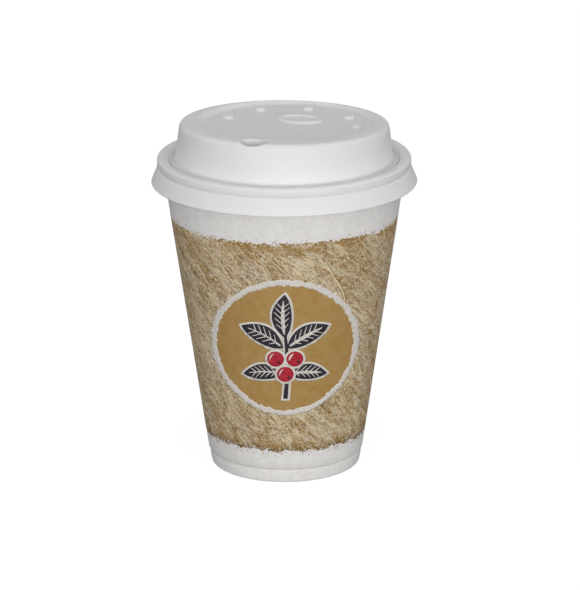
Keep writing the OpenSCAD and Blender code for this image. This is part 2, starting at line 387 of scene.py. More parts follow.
def sink_deck(points):
    """Lowers the top to the sunken deck."""
    plan = points[..., :2]
    from_sip = plan @ SIP
    from_side = plan @ SIDE
    deck_r = np.hypot(from_sip + DECK_SHIFT, from_side)
    side = DECK_Z + (deck_r - DECK_R) * math.tan(DECK_SLOPE)
    ledge = DECK_Z + (from_sip - LEDGE_R) * math.tan(LEDGE_SLOPE)
    walls = soft_max(side, ledge, LEDGE_BLEND)
    carved = soft_max(DECK_Z, walls, DECK_BLEND)
    sunk = points.copy()
    sunk[..., 2] = soft_min(points[..., 2], carved, CREST_BLEND)
    return sunk


def lid_outside(columns):
    """Points of the lid's outer face, rows from the lip to the middle of the deck."""
    turn = np.linspace(0, 2 * math.pi, columns, endpoint=False)
    rim = turned(line_up(rim_section(), RIM_PITCH), columns)
    wall = np.array(line_up(dome_section(), DOME_PITCH))
    dome = risen(wall[:, :1] + 0 * turn, wall[:, 1:] + 0 * turn, turn + 0 * wall[:, :1])
    radii = np.linspace(CREST_R, TOP_PITCH, round(CREST_R / TOP_PITCH))[1:, None]
    top = risen(radii + 0 * turn, DOME_H + 0 * radii + 0 * turn, turn + 0 * radii)
    return np.concatenate([rim, dome, sink_deck(top)])


def lid_shell(columns):
    """A closed sheet: the outer face, the inner face and the rounded lip between them."""
    outer = lid_outside(columns)
    inner = outer - shared_normals(outer) * SHEET
    lip_mid = (outer[:1] + inner[:1]) / 2 + np.array([0, 0, -SHEET * 0.35])
    points = np.concatenate([inner[::-1], lip_mid, outer])
    verts = points.reshape(-1, 3).tolist()
    faces = grid_faces(len(points), columns)
    under, top = len(verts), len(verts) + 1
    verts += [inner[-1].mean(axis=0), outer[-1].mean(axis=0)]
    faces += fan(0, under, columns, flip=True)
    faces += fan((len(points) - 1) * columns, top, columns)
    return verts, faces


def oval_outline(reach, aside, length, width, fullness=1.0, count=48):
    """Plan outline of an oval on the lid; a fullness of 1 is an ellipse, less fills its corners."""
    turn = np.linspace(0, 2 * math.pi, count, endpoint=False)
    sine, cosine = np.sin(turn), np.cos(turn)
    out = reach + width / 2 * np.sign(sine) * np.abs(sine) ** fullness
    across = aside + length / 2 * np.sign(cosine) * np.abs(cosine) ** fullness
    return (out[:, None] * SIP + across[:, None] * SIDE)[::-1]


def stack(levels):
    """A closed solid through plan outlines at their heights."""
    count = len(levels[0][0])
    verts = [(x, y, z) for outline, z in levels for x, y in outline]
    last = len(verts) - count
    faces = [tuple(reversed(range(count))), tuple(range(last, last + count))]
    return verts, faces + grid_faces(len(levels), count)


def sip_outline(z, top, grow):
    """The hole that is drunk from at one height; its back wall slants forward on the way down."""
    lean = COLLAR_LEAN * (top - z)
    return oval_outline(SIP_R + lean / 2, SIP_SIDE, SIP_L + 2 * grow, SIP_W - lean + 2 * grow,
                        SIP_FULLNESS, 96)


def raised(reach, aside, length, width, height, steps):
    """A low raised oval on the deck; steps are insets of its outline and shares of its height."""
    levels = [(oval_outline(reach, aside, length, width), DECK_Z + BUMP_ROOT)]
    levels += [(oval_outline(reach, aside, length - 2 * inset, width - 2 * inset), DECK_Z + share * height)
               for inset, share in steps]
    return stack(levels)


def apply_solids(obj, name, solids, operation):
    """Joins closed solids to the lid, or cuts them out."""
    verts, faces = [], []
    for points, sides in solids:
        faces += [tuple(len(verts) + i for i in side) for side in sides]
        verts += points
    other = make_object(name, verts, faces, None, shade_smooth=False)
    change = obj.modifiers.new(name, "BOOLEAN")
    change.object = other
    change.operation = operation
    change.solver = "EXACT"
    mesh = bpy.data.meshes.new_from_object(obj.evaluated_get(bpy.context.evaluated_depsgraph_get()))
    obj.modifiers.clear()
    obj.data = mesh
    bpy.data.objects.remove(other)


def make_lid(material):
    verts, faces = lid_shell(LID_COLUMNS)
    obj = make_object("sip_lid", verts, faces, material)
    # A short collar is turned down round the hole that is drunk from, inside the dome
    top = GUTTER_Z + DOME_H + SIP_R * math.sin(TOP_RISE) - COLLAR_TOP
    collar = []
    for z in (top - COLLAR_H, top):
        outline = sip_outline(z, top, COLLAR_T)
        reach = np.hypot(*outline.T)[:, None]
        collar.append((outline * np.minimum(1, COLLAR_REACH / reach), z))
    bumps = [raised(out, aside, BUMP_W, BUMP_W, BUMP_H, BUMP_EDGE + [(BUMP_TOP, 1)]) for out, aside in BUMPS]
    pad = raised(-PAD_BACK, PAD_SIDE, PAD_L, PAD_W, PAD_H, BUMP_EDGE + PAD_EDGE)
    apply_solids(obj, "raised", [stack(collar), pad] + bumps, "UNION")
    ends = (DECK_Z - CUT_LOW, DECK_Z + CUT_HIGH)
    hole = stack([(sip_outline(z, top, 0), z) for z in ends])
    vent = stack([(oval_outline(VENT_FRONT - DECK_BACK, 0, VENT_W, VENT_W), z) for z in ends])
    apply_solids(obj, "holes", [hole, vent], "DIFFERENCE")
    obj.data.polygons.foreach_set("use_smooth", [True] * len(obj.data.polygons))
    obj.data.set_sharp_from_angle(angle=SHARP_EDGE)
    return obj


# The print on the wall


def round_noise(count, knots, height, seed):
    """Random departures round a closed outline, joined smoothly between a number of knots."""
    values = np.random.default_rng(seed).uniform(-height, height, knots)
    place = np.arange(count) * knots / count
    knot = np.floor(place).astype(int)
    share = smooth(place - knot)
    return values[knot % knots] * (1 - share) + values[(knot + 1) % knots] * share


def torn_edge(count, around, layers, seed):
    """Raggedness of an edge of a given length: layers are the spacing and height of its teeth."""
    edge = np.zeros(count)
    for number, (spacing, height) in enumerate(layers):
        edge += round_noise(count, round(around / spacing), height, seed + number)
    return edge


def solid_ink(obj):
    ink = obj.modifiers.new("ink_thickness", "SOLIDIFY")
    ink.thickness = INK_T * MM
    ink.offset = -1
    return obj


def make_band(material):
    columns = BAND_COLUMNS
    low, high = (end + torn_edge(columns, 2 * math.pi * wall_r(end), TORN, seed)
                 for end, seed in zip(BAND_EDGES, (11, 31)))
    share = np.array([0, 0.03, 0.35, 0.7, 0.97, 1])[:, None]
    z = low + (high - low) * share
    r = wall_r(z) + LIFT_BAND
    turn = np.linspace(0, 2 * math.pi, columns, endpoint=False)
    points = np.stack([r * np.cos(turn), r * np.sin(turn), z], axis=-1)
    faces = grid_faces(len(share), columns)
    return solid_ink(make_object("band_print", points.reshape(-1, 3), faces, material))


def circle_outline(x, y, radius, count=48):
    turn = np.linspace(0, 2 * math.pi, count, endpoint=False)
    return np.stack([x + radius * np.cos(turn), y + radius * np.sin(turn)], axis=-1)


def on_leaf(points, place):
    """Turns points drawn along a straight leaf into the medallion's front view, with the leaf's bend."""
    foot, direction, share = place
    points = np.array(points, dtype=float)
    length = LEAF_L * share
    bend = LEAF_BEND * (1 if direction <= 90 else -1)
    points[:, 1] += bend * length * np.sin(np.clip(points[:, 0] / length, -0.1, 1.1) * math.pi)
    turn = math.radians(direction)
    x = points[:, 0] * math.cos(turn) - points[:, 1] * math.sin(turn)
    y = points[:, 0] * math.sin(turn) + points[:, 1] * math.cos(turn)
    return np.stack([x + foot[0] * PANEL_R, y + foot[1] * PANEL_R], axis=-1)


def leaf_outline(place, grow):
    """Two arcs that meet at the leaf's foot and tip, grown all round."""
    half = LEAF_L * place[2] / 2
    bow = 2 * half * LEAF_SLIM / 2
    radius = (half ** 2 + bow ** 2) / (2 * bow)
    reach = math.sqrt((radius + grow) ** 2 - (radius - bow) ** 2)
    along = -reach * np.cos(np.linspace(0, math.pi, 25))
    across = np.sqrt(np.maximum((radius + grow) ** 2 - along ** 2, 0)) - (radius - bow)
    below = np.stack([half + along, -across], axis=-1)
    above = np.stack([half + along, across], axis=-1)[-2:0:-1]
    return on_leaf(np.concatenate([below, above]), place)


def sliver(start, end, start_w, end_w, steps=8):
    """A tapered stroke between two points."""
    start, end = np.array(start, dtype=float), np.array(end, dtype=float)
    along = (end - start) / np.linalg.norm(end - start)
    side = np.array([-along[1], along[0]])
    share = np.linspace(0, 1, steps + 1)[:, None]
    middle = start + (end - start) * share
    width = start_w + (end_w - start_w) * share
    return np.concatenate([middle - side * width / 2, (middle + side * width / 2)[::-1]])


def leaf_veins(place):
    """The pale midrib and the side veins of one leaf."""
    length = LEAF_L * place[2]
    strokes = [sliver((0.08 * length, 0), (0.86 * length, 0), RIB_W, 0.3, 16)]
    for share in np.linspace(0.2, 0.68, 5):
        reach = LEAF_SLIM / 2 * length * (1 - (2 * share - 0.9) ** 2) * 0.78
        for side in (-1, 1):
            tip = (share * length + reach * 0.95, side * reach)
            strokes.append(sliver((share * length, 0), tip, 0.42, 0.22, 4))
    return [on_leaf(stroke, place) for stroke in strokes]


def stem_outline(grow):
    low, high = STEM_LOW * PANEL_R - grow, STEM_HIGH * PANEL_R
    outline = sliver((0, low), (0, high), STEM_W * 1.25 + 2 * grow, STEM_W * 0.8 + 2 * grow, 24)
    outline[:, 0] += 0.7 * np.sin((outline[:, 1] - low) / (high - low) * math.pi)
    return outline


def cherry_centres():
    return [np.array(BUNCH_CENTRE) * PANEL_R + np.array(place) * CHERRY_R for place in CHERRY_PLACES]


def cherry_shine(centre):
    """A crescent of bare pale ink on a cherry, on its upper left."""
    turn = np.radians(np.linspace(100, 200, 13))
    outer = np.stack([np.cos(turn), np.sin(turn)], axis=-1) * CHERRY_R * 0.74
    thin = 0.2 * CHERRY_R * np.sin(np.linspace(0, math.pi, 13))[:, None]
    inner = outer - np.stack([np.cos(turn), np.sin(turn)], axis=-1) * thin
    return centre + np.concatenate([outer, inner[-2:0:-1]])


def print_on_wall(name, shapes, material, ring=None):
    """Lays flat drawings on the wall as seen from the front; shapes are outlines with their lift."""
    bm = bmesh.new()
    for outline, lift in shapes:
        bm.faces.new([bm.verts.new((x, y, lift)) for x, y in outline])
    if ring is not None:
        rows, columns = ring.shape[:2]
        made = [bm.verts.new((x, y, LIFT_PALE)) for x, y in ring.reshape(-1, 2)]
        for face in grid_faces(rows, columns):
            bm.faces.new([made[i] for i in face])
    bmesh.ops.triangulate(bm, faces=[face for face in bm.faces if len(face.verts) > 4])
    for way in ((1, 0, 0), (0, 1, 0)):
        for cut in np.arange(-MEDAL_R, MEDAL_R, PRINT_PITCH):
            everything = bm.verts[:] + bm.edges[:] + bm.faces[:]
            bmesh.ops.bisect_plane(bm, geom=everything, plane_co=Vector(way) * cut, plane_no=way)
    for vert in bm.verts:
        x, y, lift = vert.co
        r = wall_r(MEDAL_Z + y) + lift
        vert.co = Vector((x, -math.sqrt(r * r - x * x), MEDAL_Z + y)) * MM
    bmesh.ops.recalc_face_normals(bm, faces=bm.faces)
    for face in bm.faces:
        face.smooth = True
        if face.normal.y > 0:
            face.normal_flip()
    mesh = bpy.data.meshes.new(name)
    bm.to_mesh(mesh)
    bm.free()
    mesh.materials.append(material)
    obj = bpy.data.objects.new(name, mesh)
    bpy.context.scene.collection.objects.link(obj)
    return solid_ink(obj)


def border_ring():
    """The medallion's ragged pale border: rows of points from its outer edge to its inner edge."""
    columns = BORDER_COLUMNS
    turn = np.linspace(0, 2 * math.pi, columns, endpoint=False)
    outer = MEDAL_R - 0.35 + torn_edge(columns, 2 * math.pi * MEDAL_R, CHALKY, 51)
    inner = PANEL_R + 0.25 + torn_edge(columns, 2 * math.pi * PANEL_R, CHALKY, 71)
    radius = inner + (outer - inner) * np.array([0, 0.3, 0.7, 1])[:, None]
    return np.stack([radius * np.cos(turn), radius * np.sin(turn)], axis=-1)[::-1]


def make_border(material):
    shapes = [(leaf_outline(place, OUTLINE_W), LIFT_PALE + 0.001 * i)
              for i, place in enumerate(LEAF_PLACES)]
    shapes.append((stem_outline(OUTLINE_W), LIFT_PALE + 0.006))
    for i, centre in enumerate(cherry_centres()):
        shapes.append((circle_outline(*centre, CHERRY_R + OUTLINE_W), LIFT_OUTLINE + 0.001 * i))
        shapes.append((cherry_shine(centre), LIFT_TOP))
    for place in LEAF_PLACES:
        shapes += [(stroke, LIFT_OUTLINE + 0.004 + 0.0003 * i)
                   for i, stroke in enumerate(leaf_veins(place))]
    return print_on_wall("border_print", shapes, material, border_ring())


def make_panel(material):
    return print_on_wall("panel_print", [(circle_outline(0, 0, PANEL_R + 1.2, 180), LIFT_PANEL)], material)


def make_leaves(material):
    shapes = [(leaf_outline(place, 0), LIFT_DARK + 0.001 * i) for i, place in enumerate(LEAF_PLACES)]
    shapes.append((stem_outline(0), LIFT_DARK + 0.006))
    shapes += [(circle_outline(*(centre + np.array([0.42, -0.42]) * CHERRY_R), 0.5, 16), LIFT_TOP)
               for centre in cherry_centres()]
    return print_on_wall("leaf_print", shapes, material)


def make_cherries(material):
    shapes = [(circle_outline(*centre, CHERRY_R), LIFT_RED + 0.001 * i)
              for i, centre in enumerate(cherry_centres())]
    return print_on_wall("cherry_print", shapes, material)


def fleck_tree():
    """Small flat flakes scattered along the band's two torn edges, as a Geometry Nodes tree."""
    tree = bpy.data.node_groups.new("edge_flecks", "GeometryNodeTree")
    face = tree.interface
    face.new_socket("Geometry", in_out="OUTPUT", socket_type="NodeSocketGeometry")
    for name, kind in (("Count", "Int"), ("Low Edge", "Float"), ("High Edge", "Float"),
                       ("Spread", "Float"), ("Size", "Float"), ("Radius At Zero", "Float"),
                       ("Lean", "Float"), ("Seed", "Int"), ("Material", "Material")):
        face.new_socket(name, in_out="INPUT", socket_type="NodeSocket" + kind)
    given = tree.nodes.new("NodeGroupInput").outputs
    chance = []
    for number, (low, high) in enumerate(((0, 2 * math.pi), (0, 1), (0, 1), (0, 2 * math.pi), (0.35, 1),
                                          (0.5, 1))):
        seed = add_node(tree, "ShaderNodeMath", {"operation": "ADD"}, {0: given["Seed"], 1: number})
        draw = add_node(tree, "FunctionNodeRandomValue", {"data_type": "FLOAT"},
                        {2: low, 3: high, 8: seed.outputs[0]})
        chance.append(draw.outputs[1])
    angle, edge, along, spin, size, slim = chance
    # Which edge, how far beyond it, and the height that gives
    upper = add_node(tree, "ShaderNodeMath", {"operation": "ROUND"}, {0: edge}).outputs[0]
    away = add_node(tree, "ShaderNodeMath", {"operation": "MULTIPLY_ADD"}, {0: upper, 1: 2, 2: -1})
    near = add_node(tree, "ShaderNodeMath", {"operation": "POWER"}, {0: along, 1: 1.6})
    shift = add_node(tree, "ShaderNodeMath", {"operation": "MULTIPLY"},
                     {0: near.outputs[0], 1: given["Spread"]})
    strayed = add_node(tree, "ShaderNodeMath", {"operation": "MULTIPLY"},
                       {0: shift.outputs[0], 1: away.outputs[0]})
    rest = add_node(tree, "ShaderNodeMix", {"data_type": "FLOAT"},
                    {0: upper, 2: given["Low Edge"], 3: given["High Edge"]})
    height = add_node(tree, "ShaderNodeMath", {"operation": "ADD"},
                      {0: rest.outputs[0], 1: strayed.outputs[0]}).outputs[0]
    # A place on the cone at that height, and a flake turned to lie flat on it
    radius = add_node(tree, "ShaderNodeMath", {"operation": "MULTIPLY_ADD"},
                      {0: height, 1: given["Lean"], 2: given["Radius At Zero"]}).outputs[0]
    cosine = add_node(tree, "ShaderNodeMath", {"operation": "COSINE"}, {0: angle}).outputs[0]
    sine = add_node(tree, "ShaderNodeMath", {"operation": "SINE"}, {0: angle}).outputs[0]
    x = add_node(tree, "ShaderNodeMath", {"operation": "MULTIPLY"}, {0: cosine, 1: radius}).outputs[0]
    y = add_node(tree, "ShaderNodeMath", {"operation": "MULTIPLY"}, {0: sine, 1: radius}).outputs[0]
    drop = add_node(tree, "ShaderNodeMath", {"operation": "MULTIPLY"}, {0: given["Lean"], 1: -1})
    place = add_node(tree, "ShaderNodeCombineXYZ", {}, {0: x, 1: y, 2: height})
    outward = add_node(tree, "ShaderNodeCombineXYZ", {}, {0: cosine, 1: sine, 2: drop.outputs[0]})
    flat = add_node(tree, "FunctionNodeAlignRotationToVector", {"axis": "Z"}, {2: outward.outputs[0]})
    turn = add_node(tree, "ShaderNodeCombineXYZ", {}, {2: spin})
    own = add_node(tree, "FunctionNodeEulerToRotation", {}, {0: turn.outputs[0]})
    laid = add_node(tree, "FunctionNodeRotateRotation", {"rotation_space": "LOCAL"},
                    {0: flat.outputs[0], 1: own.outputs[0]})
    long_side = add_node(tree, "ShaderNodeMath", {"operation": "MULTIPLY"}, {0: size, 1: given["Size"]})
    short_side = add_node(tree, "ShaderNodeMath", {"operation": "MULTIPLY"},
                          {0: long_side.outputs[0], 1: slim})
    scale = add_node(tree, "ShaderNodeCombineXYZ", {},
                     {0: long_side.outputs[0], 1: short_side.outputs[0], 2: given["Size"]})
    flake = add_node(tree, "GeometryNodeMeshCircle", {"fill_type": "NGON"}, {"Vertices": 7, "Radius": 1.0})
    points = add_node(tree, "GeometryNodePoints", {}, {"Count": given["Count"], "Position": place.outputs[0]})
    spread = add_node(tree, "GeometryNodeInstanceOnPoints", {},
                      {"Points": points.outputs[0], "Instance": flake.outputs[0],
                       "Rotation": laid.outputs[0], "Scale": scale.outputs[0]})
    real = add_node(tree, "GeometryNodeRealizeInstances", {}, {"Geometry": spread.outputs[0]})
    inked = add_node(tree, "GeometryNodeSetMaterial", {},
                     {"Geometry": real.outputs[0], "Material": given["Material"]})
    add_node(tree, "NodeGroupOutput", {}, {"Geometry": inked.outputs[0]})
    return tree


def make_flecks(tree, name, material, spread, lift, seed):
    """Flakes of one colour along both torn edges of the band, laid lift above the foam."""
    obj = bpy.data.objects.new(name, bpy.data.meshes.new(name))
    bpy.context.scene.collection.objects.link(obj)
    scatter = obj.modifiers.new("scatter", "NODES")
    scatter.node_group = tree
    values = {"Count": FLECK_COUNT, "Low Edge": BAND_EDGES[0] * MM, "High Edge": BAND_EDGES[1] * MM,
              "Spread": spread * MM, "Size": FLECK_SIZE * MM, "Radius At Zero": (WALL_BASE_R + lift) * MM,
              "Lean": math.tan(WALL_LEAN), "Seed": seed, "Material": material}
    for socket in tree.interface.items_tree:
        if socket.in_out == "INPUT":
            scatter[socket.identifier] = values[socket.name]
    seen = obj.evaluated_get(bpy.context.evaluated_depsgraph_get())
    mesh = bpy.data.meshes.new_from_object(seen)
    obj.modifiers.clear()
    obj.data = mesh
    return solid_ink(obj)


# Materials


def linear(colour):
    """An sRGB hex colour as linear red, green, blue and alpha."""
    parts = [int(colour[i:i + 2], 16) / 255 for i in (1, 3, 5)]
    return tuple(v / 12.92 if v <= 0.04045 else ((v + 0.055) / 1.055) ** 2.4 for v in parts) + (1.0,)


def add_node(tree, kind, settings, inputs):
    """Adds a node; an input is a socket to link from or a value, under its name or its number."""
    made = tree.nodes.new(kind)
    for name, value in settings.items():
        setattr(made, name, value)
    for name, value in inputs.items():
        if isinstance(value, bpy.types.NodeSocket):
            tree.links.new(value, made.inputs[name])
        else:
            made.inputs[name].default_value = value
    return made


def new_material(name):
    """An empty material, its tree and the object's coordinates in millimetres."""
    material = bpy.data.materials.new(name)
    material.use_nodes = True
    tree = material.node_tree
    tree.nodes.clear()
    coords = add_node(tree, "ShaderNodeTexCoord", {}, {})
    size = add_node(tree, "ShaderNodeMapping", {}, {"Vector": coords.outputs["Object"],
                                                    "Scale": (1000, 1000, 1000)})
    return material, tree, size.outputs[0]


def finish_material(tree, colour, roughness, normal, ior, extra=None):
    """Ends a material in a Principled shader."""
    inputs = {"Base Color": colour, "Roughness": roughness, "IOR": ior, "Normal": normal}
    inputs.update(extra or {})
    skin = add_node(tree, "ShaderNodeBsdfPrincipled", {}, inputs)
    add_node(tree, "ShaderNodeOutputMaterial", {}, {"Surface": skin.outputs[0]})


def bead_relief(tree, place, depth):
    """The surface of pressed foam beads: cells with sunken joints and a fine skin, as a normal."""
    soft = add_node(tree, "ShaderNodeTexNoise", {}, {"Vector": place, "Scale": 1 / 2.2, "Detail": 1.0})
    bent = add_node(tree, "ShaderNodeMix", {"data_type": "VECTOR"},
                    {0: 0.28, 4: place, 5: soft.outputs["Color"]})
    cells = add_node(tree, "ShaderNodeTexVoronoi", {"feature": "DISTANCE_TO_EDGE"},
                     {"Vector": bent.outputs[1], "Scale": 1 / BEAD_W, "Randomness": 0.85})
    joint = add_node(tree, "ShaderNodeMapRange", {"interpolation_type": "SMOOTHSTEP"},
                     {"Value": cells.outputs["Distance"], "From Min": 0.0, "From Max": 0.22})
    pores = add_node(tree, "ShaderNodeTexNoise", {}, {"Vector": place, "Scale": 1 / 0.35, "Detail": 3.0})
    height = add_node(tree, "ShaderNodeMath", {"operation": "MULTIPLY_ADD"},
                      {0: pores.outputs["Fac"], 1: 0.35, 2: joint.outputs[0]})
    bump = add_node(tree, "ShaderNodeBump", {}, {"Height": height.outputs[0], "Strength": 1.0,
                                                 "Distance": depth * MM})
    return bump.outputs[0]


# Expanded polystyrene foam, moulded from pressed beads: matt white, with faint cells that a hot
# drink cup shows up close, a little greyer at their joints
def moulded_foam():
    material, tree, place = new_material("moulded_eps_foam")
    normal = bead_relief(tree, place, 0.02)
    cells = add_node(tree, "ShaderNodeTexVoronoi", {}, {"Vector": place, "Scale": 1 / BEAD_W})
    shade = add_node(tree, "ShaderNodeSeparateColor", {}, {"Color": cells.outputs["Color"]})
    cloud = add_node(tree, "ShaderNodeTexNoise", {}, {"Vector": place, "Scale": 1 / 4, "Detail": 5.0,
                                                      "Roughness": 0.75})
    tone = add_node(tree, "ShaderNodeMath", {"operation": "MULTIPLY_ADD"},
                    {0: shade.outputs[0], 1: 0.25, 2: cloud.outputs["Fac"]})
    colour = add_node(tree, "ShaderNodeMix", {"data_type": "RGBA"},
                      {0: tone.outputs[0], 6: linear("#DFDCD9"), 7: linear("#FAF8F6")})
    finish_material(tree, colour.outputs[2], 0.7, normal, 1.5, {"Specular IOR Level": 0.05})
    return material


# High-impact polystyrene sheet, vacuum formed: smooth satin white, faintly wavy where it stretched,
# and soft at its edges because a little light sinks in
def formed_sheet():
    material, tree, place = new_material("formed_hips_sheet")
    wave = add_node(tree, "ShaderNodeTexNoise", {}, {"Vector": place, "Scale": 1 / 7, "Detail": 2.0})
    grain = add_node(tree, "ShaderNodeTexNoise", {}, {"Vector": place, "Scale": 1 / 0.5, "Detail": 2.0})
    height = add_node(tree, "ShaderNodeMath", {"operation": "MULTIPLY_ADD"},
                      {0: grain.outputs["Fac"], 1: 0.12, 2: wave.outputs["Fac"]})
    bump = add_node(tree, "ShaderNodeBump", {}, {"Height": height.outputs[0], "Distance": 0.06 * MM})
    gloss = add_node(tree, "ShaderNodeMapRange", {}, {"Value": wave.outputs["Fac"], "From Min": 0.3,
                                                      "From Max": 0.7, "To Min": 0.5, "To Max": 0.58})
    colour = add_node(tree, "ShaderNodeMix", {"data_type": "RGBA"},
                      {0: wave.outputs["Fac"], 6: linear("#EEEEEF"), 7: linear("#F3F3F4")})
    finish_material(tree, colour.outputs[2], gloss.outputs[0], bump.outputs[0], 1.59,
                    {"Subsurface Weight": 0.5, "Subsurface Radius": (1.0, 0.99, 0.95),
                     "Subsurface Scale": 0.6 * MM})
    return material


# Water-based ink rolled on the foam as marbled parchment: golden tan under clouds of cream and
# grey-pink, with short strokes, fine grain, crinkles and long creases, over the relief of the beads
def parchment_ink():
    material, tree, place = new_material("parchment_ink")
    normal = bead_relief(tree, place, 0.05)
    axes = add_node(tree, "ShaderNodeSeparateXYZ", {}, {"Vector": place}).outputs
    # Turned round the axis as it rises, so that what is drawn along Z runs down to the right
    swing = add_node(tree, "ShaderNodeMath", {"operation": "MULTIPLY"}, {0: axes["Z"], 1: 0.0286})
    turned_place = add_node(tree, "ShaderNodeVectorRotate", {"rotation_type": "Z_AXIS"},
                            {"Vector": place, "Angle": swing.outputs[0]})
    slant = turned_place.outputs[0]
    drawn, level, drift = (
        add_node(tree, "ShaderNodeMapping", {}, {"Vector": start, "Scale": stretch}).outputs[0]
        for start, stretch in ((slant, (1, 1, 0.2)), (place, (0.35, 0.35, 1)), (slant, (1, 1, 0.5))))
    # Layers of ink: pattern, its size in millimetres and detail, where it begins and is full, its
    # cover and its colour
    layers = ((drift, 12.0, 2.5, 0.46, 0.58, 0.95, "#D0BD9A"),
              (drift, 8.0, 2.5, 0.52, 0.62, 0.8, "#BFA994"),
              (drift, 10.0, 2.5, 0.5, 0.58, 0.95, "#A67C34"),
              (drawn, 2.4, 4.0, 0.47, 0.64, 0.42, "#DFCA9E"),
              (drawn, 1.9, 4.0, 0.49, 0.66, 0.48, "#8C6932"),
              (level, 1.4, 3.0, 0.5, 0.64, 0.6, "#E6D5B2"),
              (level, 1.1, 3.0, 0.52, 0.66, 0.6, "#8E6C34"),
              (place, 0.45, 1.0, 0.45, 0.62, 0.55, "#775A2E"),
              (place, 0.5, 1.0, 0.46, 0.62, 0.6, "#F2E8D2"))
    colour = linear("#B9925A")
    for number, (pattern, size, detail, begin, full, cover, shade) in enumerate(layers):
        noise = add_node(tree, "ShaderNodeTexNoise", {"noise_dimensions": "4D"},
                         {"Vector": pattern, "W": 1.7 * number, "Scale": 1 / size, "Detail": detail,
                          "Roughness": 0.6, "Distortion": 0.7})
        share = add_node(tree, "ShaderNodeMapRange", {"interpolation_type": "SMOOTHSTEP"},
                         {"Value": noise.outputs["Fac"], "From Min": begin, "From Max": full,
                          "To Max": cover})
        colour = add_node(tree, "ShaderNodeMix", {"data_type": "RGBA"},
                          {0: share.outputs[0], 6: colour, 7: linear(shade)}).outputs[2]
    # Crinkles: fine broken lines, like the folds of crumpled parchment
    for size, half, cover, shade in ((10.0, 0.014, 0.55, "#EFE2C4"), (8.0, 0.011, 0.5, "#765A30"),
                                     (6.0, 0.015, 0.5, "#EADBB8"), (5.0, 0.012, 0.45, "#806338")):
        fold = add_node(tree, "ShaderNodeTexNoise", {"noise_dimensions": "4D"},
                        {"Vector": drift, "W": 3.1 * size, "Scale": 1 / size, "Detail": 3.0,
                         "Roughness": 0.6, "Distortion": 0.8})
        line = add_node(tree, "ShaderNodeMath", {"operation": "COMPARE"},
                        {0: fold.outputs["Fac"], 1: 0.5, 2: half})
        seen = add_node(tree, "ShaderNodeMath", {"operation": "MULTIPLY"}, {0: line.outputs[0], 1: cover})
        colour = add_node(tree, "ShaderNodeMix", {"data_type": "RGBA"},
                          {0: seen.outputs[0], 6: colour, 7: linear(shade)}).outputs[2]
    # The ink lies thicker, in dark golden patches, along the last 6 mm to the band's two edges
    off_middle = add_node(tree, "ShaderNodeMath", {"operation": "SUBTRACT"},
                          {0: axes["Z"], 1: BAND_LOW + BAND_H / 2})
    away = add_node(tree, "ShaderNodeMath", {"operation": "ABSOLUTE"}, {0: off_middle.outputs[0]})
    rim = add_node(tree, "ShaderNodeMapRange", {"interpolation_type": "SMOOTHSTEP"},
                   {"Value": away.outputs[0], "From Min": BAND_H / 2 - 6, "From Max": BAND_H / 2})
    patch = add_node(tree, "ShaderNodeTexNoise", {}, {"Vector": level, "Scale": 1 / 3, "Detail": 4.0})
    patchy = add_node(tree, "ShaderNodeMapRange", {"interpolation_type": "SMOOTHSTEP"},
                      {"Value": patch.outputs["Fac"], "From Min": 0.42, "From Max": 0.56, "To Max": 0.8})
    thick = add_node(tree, "ShaderNodeMath", {"operation": "MULTIPLY"},
                     {0: rim.outputs[0], 1: patchy.outputs[0]})
    colour = add_node(tree, "ShaderNodeMix", {"data_type": "RGBA"},
                      {0: thick.outputs[0], 6: colour, 7: linear("#9A7535")}).outputs[2]
    # Creases: long lines that wind down round the cup, waved and broken up, pale beside dark
    around = add_node(tree, "ShaderNodeMath", {"operation": "ARCTAN2"}, {0: axes["Y"], 1: axes["X"]})
    for seed, count, lean in ((21.0, 11, math.radians(48)), (34.0, 7, math.radians(62))):
        wave = add_node(tree, "ShaderNodeTexNoise", {"noise_dimensions": "4D"},
                        {"Vector": place, "W": seed, "Scale": 1 / 40, "Detail": 2.0})
        fall = count / (2 * math.pi * wall_r(MEDAL_Z) * math.tan(lean))
        waved = add_node(tree, "ShaderNodeMath", {"operation": "MULTIPLY"},
                         {0: wave.outputs["Fac"], 1: 0.9})
        down = add_node(tree, "ShaderNodeMath", {"operation": "MULTIPLY_ADD"},
                        {0: axes["Z"], 1: fall, 2: waved.outputs[0]})
        phase = add_node(tree, "ShaderNodeMath", {"operation": "MULTIPLY_ADD"},
                         {0: around.outputs[0], 1: count / (2 * math.pi), 2: down.outputs[0]})
        part = add_node(tree, "ShaderNodeMath", {"operation": "FRACT"}, {0: phase.outputs[0]})
        breaks = add_node(tree, "ShaderNodeTexNoise", {"noise_dimensions": "4D"},
                          {"Vector": place, "W": seed + 1, "Scale": 1 / 18, "Detail": 3.0})
        for at, half, shade, cover in ((0.5, 0.011, "#EBDCB9", 0.8), (0.519, 0.008, "#80643A", 0.6)):
            line = add_node(tree, "ShaderNodeMath", {"operation": "COMPARE"},
                            {0: part.outputs[0], 1: at, 2: half})
            broken = add_node(tree, "ShaderNodeMapRange", {"interpolation_type": "SMOOTHSTEP"},
                              {"Value": breaks.outputs["Fac"], "From Min": 0.5, "From Max": 0.57,
                               "To Max": cover})
            seen = add_node(tree, "ShaderNodeMath", {"operation": "MULTIPLY"},
                            {0: line.outputs[0], 1: broken.outputs[0]})
            colour = add_node(tree, "ShaderNodeMix", {"data_type": "RGBA"},
                              {0: seen.outputs[0], 6: colour, 7: linear(shade)}).outputs[2]
    finish_material(tree, colour, 0.6, normal, 1.5, {"Specular IOR Level": 0.25})
    return material


